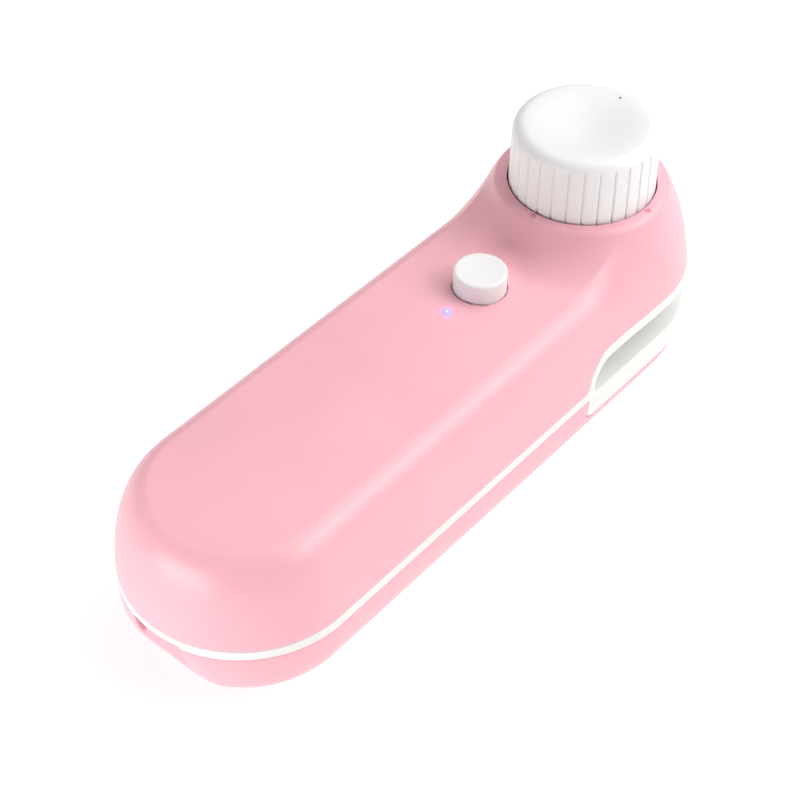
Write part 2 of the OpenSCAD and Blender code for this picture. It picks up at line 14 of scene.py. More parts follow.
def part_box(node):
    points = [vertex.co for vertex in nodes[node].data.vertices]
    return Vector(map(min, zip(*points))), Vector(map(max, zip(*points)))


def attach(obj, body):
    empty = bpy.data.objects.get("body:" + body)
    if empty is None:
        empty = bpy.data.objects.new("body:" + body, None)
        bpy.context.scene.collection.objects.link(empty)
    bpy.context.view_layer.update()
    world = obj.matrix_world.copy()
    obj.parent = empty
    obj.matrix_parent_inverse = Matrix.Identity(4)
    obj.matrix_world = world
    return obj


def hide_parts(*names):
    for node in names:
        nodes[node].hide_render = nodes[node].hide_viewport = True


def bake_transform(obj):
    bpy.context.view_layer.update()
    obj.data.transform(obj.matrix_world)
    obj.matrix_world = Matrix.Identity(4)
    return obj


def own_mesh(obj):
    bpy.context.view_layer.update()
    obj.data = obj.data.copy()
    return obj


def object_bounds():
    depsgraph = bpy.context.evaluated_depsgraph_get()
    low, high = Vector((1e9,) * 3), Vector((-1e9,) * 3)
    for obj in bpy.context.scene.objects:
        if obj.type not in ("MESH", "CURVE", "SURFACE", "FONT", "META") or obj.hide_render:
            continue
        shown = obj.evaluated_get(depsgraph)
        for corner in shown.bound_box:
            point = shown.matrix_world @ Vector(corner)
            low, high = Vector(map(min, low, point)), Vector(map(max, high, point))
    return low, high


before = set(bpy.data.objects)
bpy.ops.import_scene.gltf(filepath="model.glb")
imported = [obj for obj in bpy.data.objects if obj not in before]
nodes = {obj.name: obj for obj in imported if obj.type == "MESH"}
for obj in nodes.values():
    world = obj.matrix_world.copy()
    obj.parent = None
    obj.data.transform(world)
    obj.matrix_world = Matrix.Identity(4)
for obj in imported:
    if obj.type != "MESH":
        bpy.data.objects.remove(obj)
cad_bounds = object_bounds()
MM = 0.001

# ---------------------------------------------------------------- sizes, in millimetres


def box_mm(node):
    """Lowest and highest corner of a CAD node, in millimetres."""
    lo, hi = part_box(node)
    return lo / MM, hi / MM


R = cad_bounds[1].y / MM  # half the width, and the radius of both ends
HALF = cad_bounds[1].x / MM
X_END = HALF - R  # centre of each round end; the knob's axis is at +X_END
BAND_Z0 = box_mm("bottom_shell")[1].z
BAND_Z1 = box_mm("top_shell")[0].z
BUTTON_R = 4.85
BUTTON = box_mm("power_button")
BUTTON_X = (BUTTON[0].x + BUTTON[1].x) / 2
LAMP = box_mm("light_pipe")
LAMP_X = (LAMP[0].x + LAMP[1].x) / 2
TOP_Z = LAMP[1].z + 0.05
COLLAR_Z = box_mm("top_shell")[1].z - 0.3
KNOB = box_mm("knob_cap")
KNOB_R = (KNOB[1].y - KNOB[0].y) / 2
JAW_Z = BAND_Z0 + 0.3
JAW_H = 5.7
JAW_LOW = JAW_Z - JAW_H
JAW_R = 2.5  # lower corner of the jaw
LIP_Z0 = JAW_Z + 6.5
LIP_Z1 = LIP_Z0 + 2.0
MOUTH_X, MOUTH_R = X_END - 22.3, 5.0
TRIM_X, TRIM_R = MOUTH_X - 2.0, MOUTH_R + 2.0
CEILING_Z = JAW_Z + 6.8  # underside of the mouth's ceiling
JAW_X = MOUTH_X - 1.5
WALL = 1.8
SKIN_IN = 0.9  # how far posts and bulkheads run into the wall
EDGE = 0.3  # rounding of moulded edges
SOCKET = box_mm("usb_c_socket")
RECESS_X, RECESS_Y = SOCKET[0].x - 0.1, 5.3  # charging recess: its back wall and half its width
PORT_Z = (SOCKET[0].z + SOCKET[1].z) / 2
PORT_STEP = 0.7  # how far the recess rises into the band
SCOOP, SCOOP_Y = 1.5, 10  # shallow scoop under the charging recess: its depth and half its width
TOP_RISE = TOP_Z - BAND_Z1
TOP_RUN = 6.9  # how far the top's edge turns in
CROWN = 0.9  # how far the top falls away towards its edge
BASE_RUN, BASE_RISE = 8.5, BAND_Z0 - 1.1
HEAD_RUN, HEAD_RISE = 14.0, 30.0
SWEEP = 8.5  # radius of the hollow sweep up to the collar
BORE_R = KNOB_R + 0.2
SCREWS = [(x, s * 11.7) for x in (-36.5, 15.2) for s in (-1, 1)]
JAW_SCREWS = [(X_END + 12, s * 9) for s in (-1, 1)]
TOP_POST_R, BASE_POST_R = 2.6, 3.0  # screw posts
HEAD_HOLE_R, HEAD_HOLE_Z = 2.7, 5  # holes for the screw heads, and how deep they go
SHANK_HOLE_R = 1.45
PITCH = 0.5  # grid of the surface nets
PLAIN_SPAN = (-34.0, 8.0)  # the straight stretch, where longer cells are enough

# ---------------------------------------------------------------- distance fields


def rounded_max(a, b, r):
    """Both solids' common part, with its edge rounded to radius r."""
    return np.minimum(-r, np.maximum(a, b)) + np.hypot(np.maximum(a + r, 0), np.maximum(b + r, 0))


def rounded_min(a, b, r):
    """Both solids together, with the inner corner filled to radius r."""
    return np.maximum(r, np.minimum(a, b)) - np.hypot(np.maximum(r - a, 0), np.maximum(r - b, 0))


def round_wall(rho, rise_at, flat, run, rise):
    """Distance to a wall that turns in over a quarter ellipse, and its outward normal."""
    a = np.maximum(rho - flat, 0) / run
    b = np.maximum(rise_at, 0) / rise
    e = np.maximum(np.hypot(a, b), 1e-6)
    g = np.maximum(np.hypot(a / run, b / rise), 1e-6)
    return (e - 1) * e / g, a / run / g, b / rise / g


def end_distance(x, y):
    """Distance in plan from the line between the centres of the two round ends."""
    return np.hypot(np.maximum(np.abs(x) - X_END, 0), y)


def lower_body(x, y, z):
    """The lower housing, turned in towards its flat base."""
    return round_wall(end_distance(x, y), BASE_RISE - z, R - BASE_RUN, BASE_RUN, BASE_RISE)[0]


def upper_body(x, y, z):
    """The upper housing: a loaf and a head round the knob, joined by a sweep where they meet at an angle."""
    h = np.maximum(z - BAND_Z1, 0)
    rho = end_distance(x, y)
    flat = R - TOP_RUN
    crown = CROWN / TOP_RISE * 1.58 * (1 - np.exp(-((rho / flat) ** 2)))
    loaf, loaf_r, loaf_z = round_wall(rho, h * (1 + crown), flat, TOP_RUN, TOP_RISE)
    rho_head = np.maximum(np.hypot(x - X_END, y), 1e-6)
    head, head_r, head_z = round_wall(rho_head, h, R - HEAD_RUN, HEAD_RUN, HEAD_RISE)
    along = np.maximum(np.abs(x) - X_END, 0) * np.sign(x) * (x - X_END) + y * y
    along = along / (np.maximum(rho, 1e-6) * rho_head)
    facing = np.clip(loaf_r * head_r * along + loaf_z * head_z, 0, 1)
    both = rounded_min(loaf, head, np.maximum(SWEEP * np.sqrt(1 - facing), 0.01))
    return rounded_max(both, z - COLLAR_Z, 0.7)


def body(x, y, z):
    """The whole outside, upper and lower."""
    return np.where(z > (BAND_Z0 + BAND_Z1) / 2, upper_body(x, y, z), lower_body(x, y, z))


def mouth(x, z, x0, z1, r):
    """Distance into the mouth's side outline: past x0 and under z1, with a round corner."""
    return rounded_max(x0 - x, z - z1, r)


def post(x, y, at, r):
    """Distance to an upright post."""
    return np.hypot(x - at[0], y - at[1]) - r


def block(x, y, z, lo, hi):
    """Distance to a box."""
    return np.maximum.reduce([lo[0] - x, x - hi[0], lo[1] - y, y - hi[1], lo[2] - z, z - hi[2]])


def top_shell(x, y, z):
    """Upper casing, with screw posts and a well round the button."""
    well_r, well_bore, well_depth = 7.6, 6.3, 3.4
    button_gap = 0.13
    button = (BUTTON_X, 0)
    skin = upper_body(x, y, z)
    f = rounded_max(rounded_max(skin, BAND_Z1 - z, EDGE), -(skin + WALL), EDGE)
    inside = skin + SKIN_IN
    for at in SCREWS:
        f = np.minimum(f, np.maximum.reduce([post(x, y, at, TOP_POST_R), inside, BAND_Z1 - z]))
    f = np.minimum(f, np.maximum.reduce([post(x, y, button, well_r), inside, TOP_Z - well_depth - z]))
    f = np.maximum(f, -np.maximum(post(x, y, button, well_bore), z - (TOP_Z - WALL)))
    f = rounded_max(f, BORE_R - np.hypot(x - X_END, y), 0.2)
    f = rounded_max(f, -mouth(x, z, TRIM_X, LIP_Z1, TRIM_R), 0.25)
    return rounded_max(f, -post(x, y, button, BUTTON_R + button_gap), 0.12)


def scooped_base(x, y, z):
    """The lower housing with its shallow scoop, which fades out towards the base, band and sides."""
    low_fade, high_fade = 3, 5
    fade = np.clip(z / low_fade, 0, 1) * np.clip((BAND_Z0 - 0.5 - z) / high_fade, 0, 1) * (x < -X_END)
    return lower_body(x, y, z) + SCOOP * np.clip(1 - (y / SCOOP_Y) ** 2, 0, 1) ** 2 * fade


def charging_recess(x, y, z):
    """Recess in front of the socket. Its ledge runs down and out, as a lead-in for the plug."""
    ledge_drop, ledge_slope = 2.1, 1.2
    ledge = PORT_Z - ledge_drop - ledge_slope * (RECESS_X - x)
    ledge_cos = 0.64
    pocket = rounded_max(x - RECESS_X, ledge_cos * (ledge - z), 0.8)
    return rounded_max(pocket, np.abs(y) - RECESS_Y, 0.5)


def bottom_shell(x, y, z):
    """Lower casing: jaw seat, bulkhead, screw posts and the wall that backs the charging recess."""
    seat_gap, bulkhead_half = 0.08, 0.9
    port_half, port_wall_t = 7.5, 1.6
    plug_half, plug_r, plug_depth = 2.9, 1.72, 7
    skin = scooped_base(x, y, z)
    inside = skin + SKIN_IN
    outside = rounded_max(skin, -charging_recess(x, y, z), 0.5)
    f = rounded_max(rounded_max(outside, z - BAND_Z0, EDGE), -z, EDGE)
    f = rounded_max(f, -np.maximum(skin + WALL, WALL - z), EDGE)
    seat = rounded_max(JAW_X - seat_gap - x, JAW_LOW - seat_gap - z, JAW_R)
    bulkhead = np.abs(x - JAW_X + 0.95) - bulkhead_half
    f = np.minimum(f, np.maximum.reduce([inside, bulkhead, z - BAND_Z0 + 0.4]))
    for at in SCREWS:
        f = np.minimum(f, np.maximum.reduce([post(x, y, at, BASE_POST_R), inside, z - BAND_Z0 + 0.1]))
    for at in JAW_SCREWS:
        f = np.minimum(f, np.maximum.reduce([post(x, y, at, BASE_POST_R), inside, z - (JAW_LOW - 0.2)]))
    port_block = block(x, y, z, (-HALF, -port_half, 1), (RECESS_X + port_wall_t, port_half, BAND_Z0 - 0.3))
    f = np.minimum(f, np.maximum(outside + 0.01, port_block))
    f = rounded_max(f, -seat, EDGE)
    plug = np.hypot(np.maximum(np.abs(y) - plug_half, 0), z - PORT_Z) - plug_r
    f = np.maximum(f, -np.maximum(plug, x - RECESS_X - plug_depth))
    for at in SCREWS + JAW_SCREWS:
        f = rounded_max(f, -np.maximum(post(x, y, at, HEAD_HOLE_R), z - HEAD_HOLE_Z), 0.2)
        f = np.maximum(f, -post(x, y, at, SHANK_HOLE_R))
    return f


def guide_tower(x, y, z):
    """Tower over the heated bar with the spring's seat, its legs and the posts of the ceiling."""
    tower_r, seat_r, seat_t = 8.6, 11.4, 1.5
    leg_x, leg_half, leg_y = 6.6, 1, 8
    post_h = 2.9
    bush = box_mm("guide_bush")
    axis = np.hypot(x - X_END, y)
    tower = np.maximum.reduce([axis - tower_r, bush[0].z - z, z - bush[1].z])
    seat = np.maximum.reduce([axis - seat_r, bush[0].z - z, z - bush[0].z - seat_t])
    legs = np.maximum(np.abs(np.abs(x - X_END) - leg_x) - leg_half, np.abs(y) - leg_y)
    legs = np.maximum.reduce([legs, CEILING_Z + 0.5 - z, z - bush[0].z - 0.3])
    posts = np.minimum.reduce([post(x, y, at, TOP_POST_R) for at in JAW_SCREWS])
    posts = np.maximum.reduce([posts, CEILING_Z + 0.1 - z, z - CEILING_Z - post_h])
    return np.minimum.reduce([tower, seat, legs, posts])


def mid_frame(x, y, z):
    """Band and mouth trim, with the ceiling, deck and guide tower behind them."""
    frame_t, ceiling_t = 2.2, 1.6
    bush_r, hatch_gap = 6.65, 0.4
    window_end, window_half = 6, 9
    skin = body(x, y, z)
    inside = skin + 0.6
    opening = mouth(x, z, TRIM_X, LIP_Z1, TRIM_R)
    trim = np.maximum(opening, -mouth(x, z, MOUTH_X, LIP_Z0, MOUTH_R))
    band = np.maximum(z - BAND_Z1, x - MOUTH_X)
    strip = np.maximum(rounded_min(trim, band, 0.6), BAND_Z0 - z)
    f = rounded_max(skin, strip, 0.25)
    f = rounded_max(f, -(skin + frame_t), EDGE)
    ceiling = [inside, CEILING_Z - z, z - CEILING_Z - ceiling_t, MOUTH_X + 2 - x, opening]
    wall = [inside, trim + 0.1, BAND_Z0 + 0.1 - z, x - MOUTH_X - MOUTH_R]
    deck = np.maximum.reduce([inside + 1, BAND_Z0 + 0.5 - z, z - BAND_Z1 + 0.1, x - MOUTH_X + 1])
    cell = box_mm("battery_cell")
    window = [cell[0].x - window_end - x, x - cell[1].x - window_end, np.abs(y) - window_half]
    deck = np.maximum(deck, -np.maximum.reduce(window))
    tower = guide_tower(x, y, z)
    f = np.minimum.reduce([f, np.maximum.reduce(ceiling), np.maximum.reduce(wall), deck, tower])
    f = np.maximum(f, bush_r - np.hypot(x - X_END, y))
    bar, tower_z = box_mm("heater_carrier"), box_mm("guide_bush")[0].z
    hatch_x = np.abs(x - X_END) - (bar[1].x - bar[0].x) / 2 - hatch_gap
    hatch = rounded_max(np.maximum(hatch_x, z - tower_z + 0.1), np.abs(y) - bar[1].y - hatch_gap, 0.6)
    f = rounded_max(f, -hatch, 0.25)
    for at in JAW_SCREWS:
        f = np.maximum(f, -np.maximum(post(x, y, at, 2.2), z - CEILING_Z - 1.5))
        f = np.maximum(f, -post(x, y, at, 1.3))
    for at in SCREWS:
        f = np.maximum(f, -post(x, y, at, SHANK_HOLE_R))
    flare = 0.9  # the recess's sides draw in as they rise into the band
    notch = np.maximum(x - RECESS_X, np.abs(y) - RECESS_Y - 0.2 + flare * (z - BAND_Z0))
    return rounded_max(f, -rounded_max(notch, z - BAND_Z0 - PORT_STEP, 0.2), 0.12)


def lower_jaw(x, y, z):
    """Hollow jaw with screw posts and the pad's groove."""
    pad_gap, thread_r = 0.08, 1.05
    skin = np.where(z > BASE_RISE, end_distance(x, y) - R, lower_body(x, y, z))
    side = rounded_max(JAW_X - x, JAW_LOW - z, JAW_R)
    f = rounded_max(rounded_max(skin, z - JAW_Z, 0.55), side, 0.25)
    f = np.maximum(f, -np.maximum.reduce([skin + WALL, JAW_X + 1.6 - x, z - (JAW_Z - 2)]))
    for at in JAW_SCREWS:
        f = np.minimum(f, np.maximum.reduce([post(x, y, at, BASE_POST_R), JAW_LOW - z, z - JAW_Z + 0.5]))
        f = np.maximum(f, -np.maximum(post(x, y, at, thread_r), z - JAW_Z + 2.1))
    pad = box_mm("silicone_pad")
    groove_x = np.abs(x - X_END) - (pad[1].x - pad[0].x) / 2 - pad_gap
    groove = rounded_max(groove_x, np.abs(y) - pad[1].y - pad_gap, 0.5)
    f = rounded_max(f, -np.maximum(groove, pad[0].z - z), 0.2)
    return np.maximum(f, -np.maximum(BAND_Z0 - z, x - MOUTH_X - 0.1))


# ---------------------------------------------------------------- meshing


def grid(lo, hi, planes=(), coarse=None):
    """Grid lines from lo to hi, close together about each plane and wide apart over the coarse span."""
    near = [p + s * d for p in planes for s in (-1, 1) for d in (0.07, 0.2, 0.36)]
    stops = sorted([lo, hi] + near + list(coarse or ()))
    lines = [np.array([lo])]
    for a, b in zip(stops, stops[1:]):
        wide = coarse is not None and coarse[0] <= (a + b) / 2 <= coarse[1]
        n = max(1, round((b - a) / (PITCH * (2.5 if wide else 1))))
        lines.append(np.linspace(a, b, n + 1)[1:])
    return np.unique(np.concatenate(lines).round(5))


def gradient(field, p, step=0.02):
    """Slope of the field at the points p."""
    g = np.empty_like(p)
    for k in range(3):
        d = np.zeros(3)
        d[k] = step
        g[:, k] = (field(*(p + d).T) - field(*(p - d).T)) / (2 * step)
    return g


CORNERS = np.array([(i, j, k) for i in (0, 1) for j in (0, 1) for k in (0, 1)])
EDGES = [(a, b) for a in range(8) for b in range(a + 1, 8) if np.abs(CORNERS[a] - CORNERS[b]).sum() == 1]


def surface_net(field, xs, ys, zs):
    """Vertices on field = 0, one in each grid cell that it crosses, and the quads between them."""
    values = field(*np.meshgrid(xs, ys, zs, indexing="ij"))
    inside = values < 0
    shape = np.array(values.shape) - 1
    count = sum(inside[i:i + shape[0], j:j + shape[1], k:k + shape[2]].astype(np.int8)
                for i, j, k in CORNERS)
    cells = np.argwhere((count > 0) & (count < 8))
    index = np.full(shape, -1)
    index[tuple(cells.T)] = np.arange(len(cells))
    lines = (xs, ys, zs)
    total, hits = np.zeros((len(cells), 3)), np.zeros(len(cells))
    for a, b in EDGES:
        ca, cb = cells + CORNERS[a], cells + CORNERS[b]
        fa, fb = values[tuple(ca.T)], values[tuple(cb.T)]
        cross = (fa < 0) != (fb < 0)
        t = np.where(cross, fa / np.where(cross, fa - fb, 1), 0)[:, None]
        pa = np.stack([lines[k][ca[:, k]] for k in range(3)], 1)
        pb = np.stack([lines[k][cb[:, k]] for k in range(3)], 1)
        total += np.where(cross[:, None], pa + t * (pb - pa), 0)
        hits += cross
    points = total / hits[:, None]
    quads = []
    for k in range(3):
        u, v = (k + 1) % 3, (k + 2) % 3
        a = np.moveaxis(inside, (k, u, v), (0, 1, 2))
        start, end = a[:-1, 1:-1, 1:-1], a[1:, 1:-1, 1:-1]
        at = np.argwhere(start != end)
        cell = np.moveaxis(index, (k, u, v), (0, 1, 2))
        i, j, m = at[:, 0], at[:, 1] + 1, at[:, 2] + 1
        ring = np.stack([cell[i, j - 1, m - 1], cell[i, j, m - 1], cell[i, j, m], cell[i, j - 1, m]], 1)
        flip = ~start[tuple(at.T)]
        ring[flip] = ring[flip][:, ::-1]
        quads.append(ring)
    return points, np.concatenate(quads)


def settle(field, points, quads, rounds=1):
    """Moves the points onto the surface, evening out their spacing between moves."""
    pairs = np.concatenate([quads[:, [i, (i + 1) % 4]] for i in range(4)])
    degree = np.bincount(pairs[:, 0], minlength=len(points)).astype(float)
    degree += np.bincount(pairs[:, 1], minlength=len(points))
    for n in range(rounds + 1):
        for _ in range(2):
            g = gradient(field, points)
            step = (field(*points.T) / np.maximum((g ** 2).sum(1), 1e-3))[:, None] * g
            size = np.linalg.norm(step, axis=1, keepdims=True)
            points = points - step * np.minimum(1, 0.4 * PITCH / np.maximum(size, 1e-9))
        if n < rounds:
            mean = np.zeros_like(points)
            for k in range(3):
                mean[:, k] = np.bincount(pairs[:, 0], points[pairs[:, 1], k], len(points))
                mean[:, k] += np.bincount(pairs[:, 1], points[pairs[:, 0], k], len(points))
            points = points + 0.5 * (mean / degree[:, None] - points)
    return points


def mesh_object(name, points, faces, normals=None):
    """A smooth mesh in the scene, from points in millimetres."""
    mesh = bpy.data.meshes.new(name)
    mesh.from_pydata((np.asarray(points) * MM).tolist(), [], faces)
    mesh.validate()
    mesh.shade_smooth()
    if normals is not None:
        mesh.normals_split_custom_set_from_vertices(normals.tolist())
    obj = bpy.data.objects.new(name, mesh)
    bpy.context.scene.collection.objects.link(obj)
    return obj


def moulded(name, field, lo, hi, planes, plain=PLAIN_SPAN):
    """A smooth moulded piece from its distance field, meshed between lo and hi."""
    margin = 1.2
    lines = [grid(lo[k] - margin, hi[k] + margin, planes[k], plain if k == 0 else None) for k in range(3)]
    points, quads = surface_net(field, *lines)
    points = settle(field, points, quads)
    normals = gradient(field, points, 0.06)
    normals /= np.maximum(np.linalg.norm(normals, axis=1, keepdims=True), 1e-9)
    return mesh_object(name, points, quads.tolist(), normals)


def lathe(name, profile, axis, around=128, displace=None):
    """A turned piece: profile is a closed list of (radius, height), starting and ending on the axis."""
    angles = np.asarray(around) if np.ndim(around) else np.arange(around) * 2 * math.pi / around
    n = len(angles)
    points, faces, rings = [], [], []
    for r, z in profile:
        if r < 1e-6:
            rings.append([len(points)])
            points.append((axis[0], axis[1], z))
        else:
            rings.append(list(range(len(points), len(points) + n)))
            rr = r + (displace(angles, z, r) if displace else 0 * angles)
            points.extend((axis[0] + a * math.cos(t), axis[1] + a * math.sin(t), z)
                          for a, t in zip(rr, angles))
    for low, high in zip(rings, rings[1:]):
        for i in range(n):
            j = (i + 1) % n
            if len(low) == 1:
                faces.append((low[0], high[j], high[i]))
            elif len(high) == 1:
                faces.append((low[i], low[j], high[0]))
            else:
                faces.append((low[i], low[j], high[j], high[i]))
    return mesh_object(name, points, faces)


def arc(cx, cz, r, a0, a1, n):
    """Points (radius, height) along an arc, angles in degrees."""
    turns = [math.radians(a0 + (a1 - a0) * i / n) for i in range(n + 1)]
    return [(cx + r * math.cos(t), cz + r * math.sin(t)) for t in turns]


def tube(name, points, radius):
    """A wire through the given points, in millimetres."""
    curve = bpy.data.curves.new(name, "CURVE")
    curve.dimensions = "3D"
    curve.bevel_depth = radius * MM
    curve.bevel_resolution = 4
    curve.use_fill_caps = True
    spline = curve.splines.new("POLY")
    spline.points.add(len(points) - 1)
    for p, q in zip(spline.points, points):
        p.co = (q[0] * MM, q[1] * MM, q[2] * MM, 1)
    obj = bpy.data.objects.new(name, curve)
    bpy.context.scene.collection.objects.link(obj)
    dg = bpy.context.evaluated_depsgraph_get()
    mesh = bpy.data.meshes.new_from_object(obj.evaluated_get(dg))
    bpy.data.objects.remove(obj)
    mesh.shade_smooth()
    made = bpy.data.objects.new(name, mesh)
    bpy.context.scene.collection.objects.link(made)
    return made


# ---------------------------------------------------------------- materials


def srgb(r, g, b):
    """Linear colour from screen values of 0 to 255."""
    return tuple(((c / 255 + 0.055) / 1.055) ** 2.4 if c > 10 else c / 255 / 12.92
                 for c in (r, g, b)) + (1.0,)


class Mat:
    """A node material with a principled shader and helpers for procedural detail in real units."""

    def __init__(self, name, color, rough=0.4, metal=0.0, **sockets):
        self.m = bpy.data.materials.new(name)
        self.m.use_nodes = True
        self.t = self.m.node_tree
        self.s = self.t.nodes["Principled BSDF"]
        self.s.inputs["Base Color"].default_value = color
        self.s.inputs["Roughness"].default_value = rough
        self.s.inputs["Metallic"].default_value = metal
        for key, value in sockets.items():
            self.s.inputs[key.replace("_", " ")].default_value = value
        self.color, self.rough = color, rough
        self.coords = self.t.nodes.new("ShaderNodeTexCoord").outputs["Object"]

    def node(self, kind, **settings):
        """A new node, with its inputs or its own settings given by name."""
        n = self.t.nodes.new(kind)
        for key, value in settings.items():
            if key in n.inputs:
                n.inputs[key].default_value = value
            else:
                setattr(n, key, value)
        return n

    def noise(self, size_mm, detail=3.0, stretch=(1, 1, 1)):
        """Noise whose features are about size_mm across."""
        mapping = self.node("ShaderNodeMapping")
        mapping.inputs["Scale"].default_value = stretch
        self.t.links.new(self.coords, mapping.inputs["Vector"])
        n = self.node("ShaderNodeTexNoise", Scale=1 / (size_mm * MM), Detail=detail)
        self.t.links.new(mapping.outputs[0], n.inputs["Vector"])
        return n.outputs["Fac"]

    def ramp(self, fac, lo, hi, a, b):
        """fac, from lo to hi, mapped to a to b."""
        n = self.node("ShaderNodeMapRange")
        for key, value in (("From Min", lo), ("From Max", hi), ("To Min", a), ("To Max", b)):
            n.inputs[key].default_value = value
        self.t.links.new(fac, n.inputs["Value"])
        return n.outputs["Result"]

    def vary_rough(self, fac, spread):
        """Roughness that wanders by spread either way."""
        rough = self.ramp(fac, 0.3, 0.7, self.rough - spread, self.rough + spread)
        self.t.links.new(rough, self.s.inputs["Roughness"])

    def vary_color(self, fac, other, lo=0.35, hi=0.65):
        """Colour that wanders between the material's own and another."""
        mix = self.node("ShaderNodeMix", data_type="RGBA")
        mix.inputs["A"].default_value = self.color
        mix.inputs["B"].default_value = other
        self.t.links.new(self.ramp(fac, lo, hi, 0, 1), mix.inputs["Factor"])
        self.t.links.new(mix.outputs["Result"], self.s.inputs["Base Color"])

    def bump(self, fac, depth_mm, strength):
        """Surface relief, on top of any that is there already."""
        n = self.node("ShaderNodeBump", Strength=strength, Distance=depth_mm * MM)
        self.t.links.new(fac, n.inputs["Height"])
        before = self.s.inputs["Normal"]
        if before.is_linked:
            self.t.links.new(before.links[0].from_socket, n.inputs["Normal"])
        self.t.links.new(n.outputs["Normal"], before)


def darker(color, k):
    """The colour at k times its brightness."""
    return tuple(c * k for c in color[:3]) + (1.0,)


def moulded_plastic(name, color, rough, grain_mm=0.25, grain_depth=0.004, **sockets):
    """Satin moulded plastic: fine tool grain, faint flow variation and slight changes of gloss."""
    m = Mat(name, color, rough, **sockets)
    m.vary_color(m.noise(18, 2), darker(color, 0.965))
    m.vary_rough(m.noise(4, 3), 0.03)
    m.bump(m.noise(grain_mm, 2), grain_depth, 0.5)
    return m.m


def metal(name, color, rough, stretch=(1, 1, 1), scratch=0.02):
    """Metal with fine scratches, drawn out along the axes where stretch is small."""
    m = Mat(name, color, rough, 1.0)
    fine = m.noise(0.4, 3, stretch)
    m.vary_rough(fine, 0.06)
    m.vary_color(m.noise(2.5, 3), darker(color, 0.85))
    m.bump(fine, scratch, 0.3)
    return m.m


pink = moulded_plastic("pink_satin_plastic", srgb(250, 184, 195), 0.36, Coat_Weight=0.06, Coat_Roughness=0.3)
# darker copy of the pink: painted shade for the raised marks on the collar
pink_painted_shade_mark = moulded_plastic("pink_painted_shade_mark", srgb(226, 146, 158), 0.4)
white = moulded_plastic("white_satin_plastic", srgb(243, 243, 240), 0.38, 0.2)
knob_white = moulded_plastic("white_knob_plastic", srgb(244, 243, 242), 0.42, 0.3, 0.006)
grey_plastic = moulded_plastic("natural_acetal", srgb(226, 226, 220), 0.45)
black_plastic = moulded_plastic("black_moulding", srgb(28, 28, 30), 0.45, 0.2, 0.01)
grey_ink = moulded_plastic("grey_ink", srgb(110, 110, 112), 0.5)
red_plastic = moulded_plastic("red_button_plastic", srgb(190, 25, 25), 0.3)
phenolic = moulded_plastic("phenolic_moulding", srgb(88, 54, 33), 0.5, 0.15, 0.02)
steel = metal("plated_steel", (0.62, 0.62, 0.64, 1), 0.28)
spring_steel = metal("drawn_spring_wire", (0.55, 0.55, 0.57, 1), 0.25, (1, 1, 6))
brass = metal("turned_brass", (0.72, 0.52, 0.22, 1), 0.25, (1, 1, 12))
nickel = metal("nickel_plate", (0.66, 0.64, 0.6, 1), 0.22)
alloy = metal("heater_alloy", (0.42, 0.4, 0.38, 1), 0.4, (1, 12, 1), 0.01)


def silicone_material():
    """Grey silicone with a fine matt bloom."""
    m = Mat("grey_silicone", srgb(150, 150, 150), 0.6)
    m.vary_color(m.noise(3, 3), darker(m.color, 0.9))
    m.bump(m.noise(0.15, 2), 0.02, 0.6)
    return m.m


def foam_material():
    """Dark foam with half-millimetre cells."""
    m = Mat("closed_cell_foam", srgb(40, 40, 42), 0.9)
    cells = m.node("ShaderNodeTexVoronoi", Scale=1 / (0.5 * MM))
    m.t.links.new(m.coords, cells.inputs["Vector"])
    m.bump(cells.outputs["Distance"], 0.15, 0.8)
    m.vary_color(cells.outputs["Distance"], darker(m.color, 0.6))
    return m.m


def cloth_material():
    """Coated glass cloth: a plain weave under a smooth tan film."""
    m = Mat("release_cloth", srgb(196, 160, 112), 0.35)
    for direction in ("X", "Y"):
        weave = m.node("ShaderNodeTexWave", Scale=1 / (0.5 * MM) / 20, bands_direction=direction)
        m.t.links.new(m.coords, weave.inputs["Vector"])
        m.bump(weave.outputs["Fac"], 0.03, 0.5)
    m.vary_color(m.noise(2, 3), darker(m.color, 0.85))
    return m.m


def board_material():
    """Green solder mask with faint tracks under it."""
    m = Mat("solder_mask", srgb(18, 92, 52), 0.25)
    cells = m.node("ShaderNodeTexVoronoi", Scale=1 / (3 * MM), distance="MANHATTAN", feature="F2")
    m.t.links.new(m.coords, cells.inputs["Vector"])
    m.vary_color(cells.outputs["Distance"], srgb(34, 128, 74), 0.55, 0.6)
    m.bump(m.ramp(cells.outputs["Distance"], 0.55, 0.6, 0, 1), 0.03, 0.6)
    return m.m


def wrap_material():
    """Blue shrink wrap, slightly wavy."""
    m = Mat("cell_wrap", srgb(38, 78, 158), 0.22)
    m.bump(m.noise(3, 2, (0.3, 1, 1)), 0.06, 0.5)
    m.vary_rough(m.noise(2, 2), 0.05)
    return m.m


def insulation(name, color):
    """Soft wire insulation."""
    m = Mat(name, color, 0.35)
    m.vary_rough(m.noise(1.5, 2), 0.06)
    m.bump(m.noise(0.3, 2), 0.01, 0.4)
    return m.m


